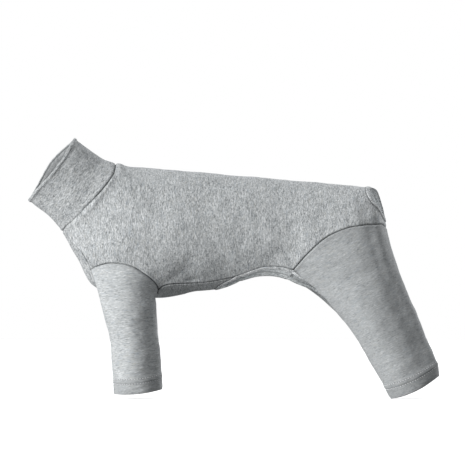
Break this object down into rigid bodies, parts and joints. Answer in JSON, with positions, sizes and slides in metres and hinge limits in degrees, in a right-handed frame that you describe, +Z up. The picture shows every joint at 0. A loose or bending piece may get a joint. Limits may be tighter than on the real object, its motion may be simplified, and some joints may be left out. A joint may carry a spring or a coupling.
{
  "type": "dog jumpsuit",
  "caption": "Four-legged knit jumpsuit for a dog with a high folded collar, long sleeves and legs, and bound tail and belly openings.",
  "frame": {"origin": "on the inside of the back, halfway along it, where the dog's back holds the jumpsuit up", "axes": "+Z up, +X from the head end to the tail end, -Y the dog's left side"},
  "size_m": [0.5325, 0.146, 0.3364],
  "materials": {
    "collar_knit": "matte heather grey marl knit",
    "body_knit": "matte heather grey marl knit",
    "belly_knit": "matte heather grey marl knit",
    "front_sleeve_knit": "matte heather grey marl knit",
    "hind_leg_knit": "matte heather grey marl knit",
    "tail_binding_knit": "matte heather grey marl knit",
    "belly_binding_knit": "matte heather grey marl knit"
  },
  "bodies": {
    "root": {"neck_collar": "collar_knit", "body_panel": "body_knit", "chest_belly_panel": "belly_knit", "left_front_sleeve": "front_sleeve_knit", "right_front_sleeve": "front_sleeve_knit", "left_hind_leg": "hind_leg_knit", "right_hind_leg": "hind_leg_knit", "tail_opening_binding": "tail_binding_knit", "belly_opening_binding": "belly_binding_knit"}
  },
  "joints": []
}
